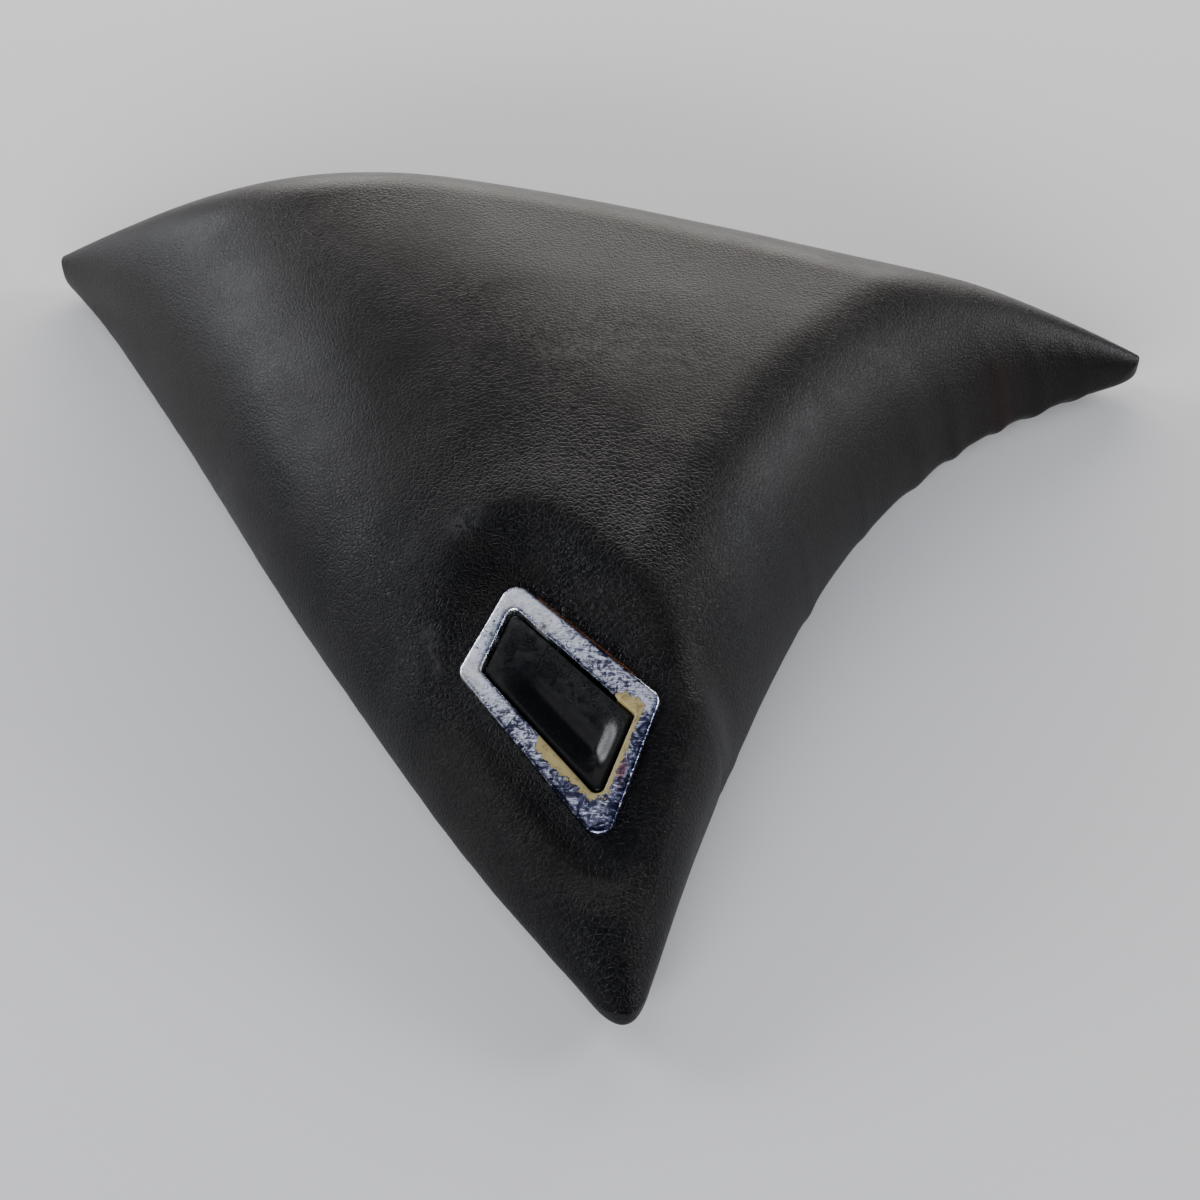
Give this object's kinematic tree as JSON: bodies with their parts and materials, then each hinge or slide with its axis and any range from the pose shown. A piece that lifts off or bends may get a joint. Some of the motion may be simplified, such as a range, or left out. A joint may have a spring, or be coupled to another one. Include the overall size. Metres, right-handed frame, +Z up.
{
  "type": "padded panel with release paddle",
  "caption": "Three-cornered upholstered panel with a crowned top and a plated bezel round a sprung finger paddle that works a latch hook underneath.",
  "frame": {"origin": "middle of the footprint, at the height of the three rubber feet", "axes": "+X along the long rear side from the left corner to the right corner, +Y from the front tip to the rear side, +Z up through the crown"},
  "size_m": [0.4002, 0.3476, 0.0798],
  "materials": {
    "leatherette": "black pebble-grain leatherette, satin, slightly worn",
    "foam": "pale yellow open-cell padding foam",
    "shell_plastic": "moulded black ABS, fine matt texture",
    "chromed_plastic": "chrome-plated ABS, worn, peeled to the cream plastic along the inner front edge",
    "paddle_plastic": "moulded black plastic, satin gloss, dusty in the hollow",
    "nylon": "natural white nylon",
    "bright_steel": "bright machined steel",
    "spring_steel": "drawn spring wire",
    "strip_steel": "zinc-coated sheet steel",
    "zinc_steel": "zinc-plated screws",
    "foot_rubber": "black rubber stud"
  },
  "bodies": {
    "panel": {"cover": "leatherette", "foam_pad": "foam", "shell": "shell_plastic", "bezel": "chromed_plastic", "pivot_pin": "bright_steel", "torsion_spring": "spring_steel", "latch_housing": "nylon", "hook_pin": "bright_steel", "housing_screw_1": "zinc_steel", "housing_screw_2": "zinc_steel", "housing_screw_3": "zinc_steel", "housing_screw_4": "zinc_steel", "hem_strip_left": "strip_steel", "hem_strip_right": "strip_steel", "hem_strip_rear": "strip_steel", "hem_screw_1": "zinc_steel", "hem_screw_2": "zinc_steel", "hem_screw_3": "zinc_steel", "hem_screw_4": "zinc_steel", "hem_screw_5": "zinc_steel", "hem_screw_6": "zinc_steel", "foot_left": "foot_rubber", "foot_right": "foot_rubber", "foot_tip": "foot_rubber", "tongue_screw_1": "zinc_steel", "tongue_screw_2": "zinc_steel", "tongue_screw_3": "zinc_steel", "tongue_screw_4": "zinc_steel", "locating_tongue_left": "strip_steel", "locating_tongue_right": "strip_steel"},
    "paddle": {"paddle": "paddle_plastic"},
    "latch_hook": {"latch_hook": "bright_steel"}
  },
  "joints": [
    {"name": "paddle_press", "type": "hinge", "parent": "panel", "child": "paddle", "pos_m": [0.02483, -0.06869, 0.03171], "axis": [0.6618, 0.6847, 0.3054], "range_deg": [0, 5], "stiffness_Nm_per_rad": 0.35, "springref_deg": -14.32, "deforming": ["torsion_spring"]},
    {"name": "latch_release", "type": "hinge", "parent": "panel", "child": "latch_hook", "pos_m": [0.06256, -0.09793, 0.01552], "axis": [-0.6618, -0.6847, -0.3054], "range_deg": [0, 12]}
  ],
  "couplings": [
    {"joint": "latch_release", "follows": "paddle_press", "ratio": 2.4}
  ]
}
